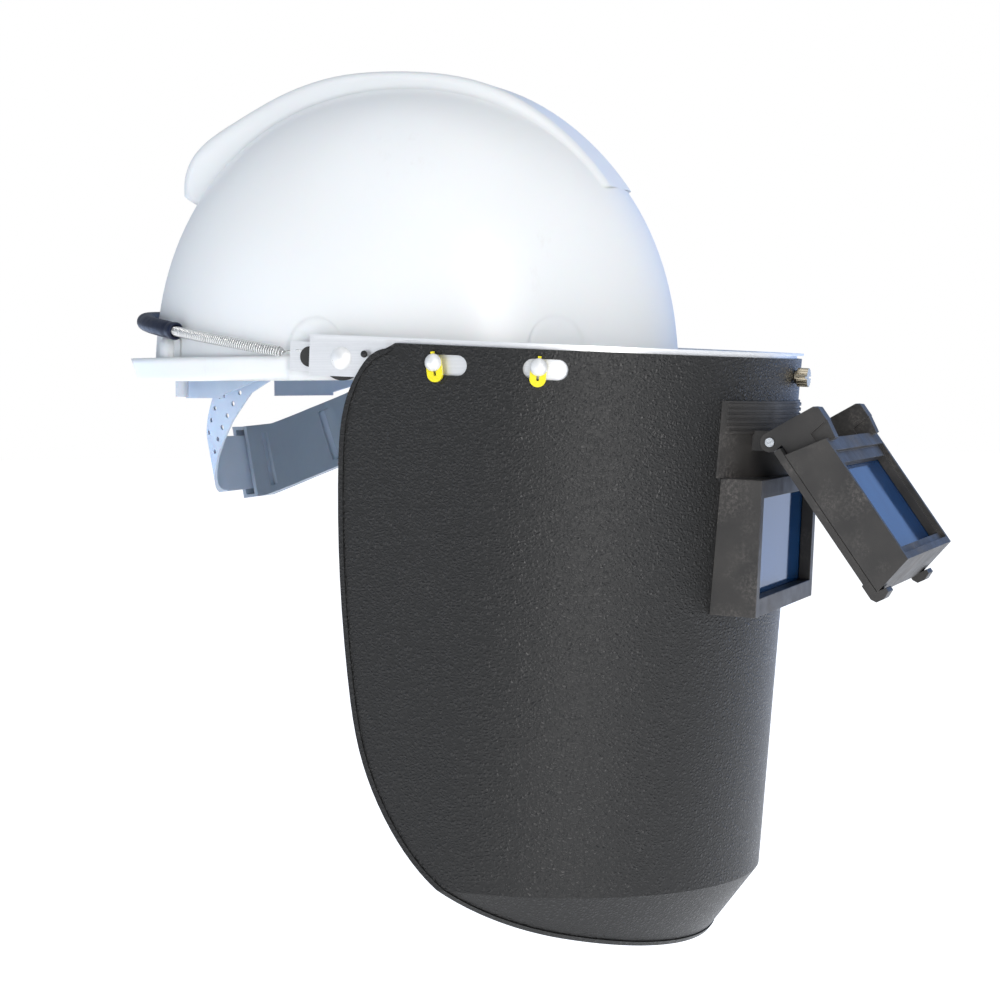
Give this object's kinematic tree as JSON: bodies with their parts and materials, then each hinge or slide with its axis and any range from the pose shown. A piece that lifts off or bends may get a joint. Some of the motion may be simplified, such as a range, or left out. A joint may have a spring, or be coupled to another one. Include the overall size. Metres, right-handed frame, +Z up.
{
  "type": "hard hat with welding face shield",
  "caption": "Hard hat with a spring-held aluminium bracket, a lift-up curved face shield and a flip-up rectangular filter window.",
  "frame": {"origin": "centre of the shell's head opening, on the plane of the rim's lower edge", "axes": "-Y is the way the wearer faces, +X is the wearer's left, +Z is up through the crown"},
  "size_m": [0.2334, 0.3884, 0.4028],
  "materials": {
    "shell": "gloss moulded HDPE",
    "suspension": "satin translucent polyethylene",
    "sweatband": "foam-backed cloth",
    "aluminium": "satin brushed",
    "spring_steel": "bright zinc plate",
    "rubber": "smooth",
    "shield": "leather grain, satin",
    "holder": "matte moulded",
    "screw_metal": "nickel-plated, knurled",
    "pin_chrome": "polished",
    "clear_glass": "clear polished",
    "filter_glass": "dark shade glass",
    "spacer": "matte",
    "rivet_metal": "polished",
    "washer": "matte",
    "clip": "gloss"
  },
  "bodies": {
    "helmet": {"shell": "shell", "crown_web": "suspension", "headband": "suspension", "brow_pad": "sweatband", "nape_sleeve": "suspension", "inner_band": "aluminium", "tension_spring": "spring_steel", "spring_sleeve": "rubber", "suspension_key_front_right": "suspension", "suspension_key_side_right": "suspension", "suspension_key_rear_right": "suspension", "nape_strap_right": "suspension", "pivot_rivet_right": "rivet_metal", "friction_washer_right": "washer", "spring_anchor_right": "washer", "suspension_key_front_left": "suspension", "suspension_key_side_left": "suspension", "suspension_key_rear_left": "suspension", "nape_strap_left": "suspension", "pivot_rivet_left": "rivet_metal", "friction_washer_left": "washer", "spring_anchor_left": "washer"},
    "shield_carrier": {"outer_band": "aluminium", "visor_shell": "shield", "front_nut": "screw_metal", "lens_box": "holder", "hinge_panel": "holder", "hinge_pin": "pin_chrome", "cover_lens": "clear_glass", "lens_retainer": "spacer", "shield_stud_rear_right": "rivet_metal", "shield_stud_front_right": "rivet_metal", "shield_stud_rear_left": "rivet_metal", "shield_stud_front_left": "rivet_metal"},
    "flip_window": {"flip_housing": "holder", "flip_back_plate": "holder", "filter_plate": "filter_glass", "filter_spacer": "spacer", "inner_cover_lens": "clear_glass"},
    "front_screw": {"front_screw": "screw_metal"},
    "clip_rear_right": {"shield_clip_rear_right": "clip"},
    "clip_front_right": {"shield_clip_front_right": "clip"},
    "clip_rear_left": {"shield_clip_rear_left": "clip"},
    "clip_front_left": {"shield_clip_front_left": "clip"}
  },
  "joints": [
    {"name": "shield_lift", "type": "hinge", "parent": "helmet", "child": "shield_carrier", "pos_m": [0, -0.008, 0.0097], "axis": [-1, 0, 0], "range_deg": [0, 85]},
    {"name": "window_flip", "type": "hinge", "parent": "shield_carrier", "child": "flip_window", "pos_m": [0, -0.18555, -0.02844], "axis": [-1, 0, 0], "range_deg": [-37.5, 52.5]},
    {"name": "front_screw_turn", "type": "hinge", "parent": "shield_carrier", "child": "front_screw", "pos_m": [0, -0.18513, -0.00018], "axis": [0, -0.9986, -0.0523], "continuous": true},
    {"name": "clip_turn_rear_right", "type": "hinge", "parent": "shield_carrier", "child": "clip_rear_right", "pos_m": [-0.112, -0.05244, 0.00737], "axis": [-1, 0, 0], "range_deg": [-100, 100]},
    {"name": "clip_turn_front_right", "type": "hinge", "parent": "shield_carrier", "child": "clip_front_right", "pos_m": [-0.10907, -0.09873, 0.00494], "axis": [-0.9738, -0.227, -0.0119], "range_deg": [-100, 100]},
    {"name": "clip_turn_rear_left", "type": "hinge", "parent": "shield_carrier", "child": "clip_rear_left", "pos_m": [0.112, -0.05244, 0.00737], "axis": [1, 0, 0], "range_deg": [-100, 100]},
    {"name": "clip_turn_front_left", "type": "hinge", "parent": "shield_carrier", "child": "clip_front_left", "pos_m": [0.10907, -0.09873, 0.00494], "axis": [0.9738, -0.227, -0.0119], "range_deg": [-100, 100]}
  ]
}
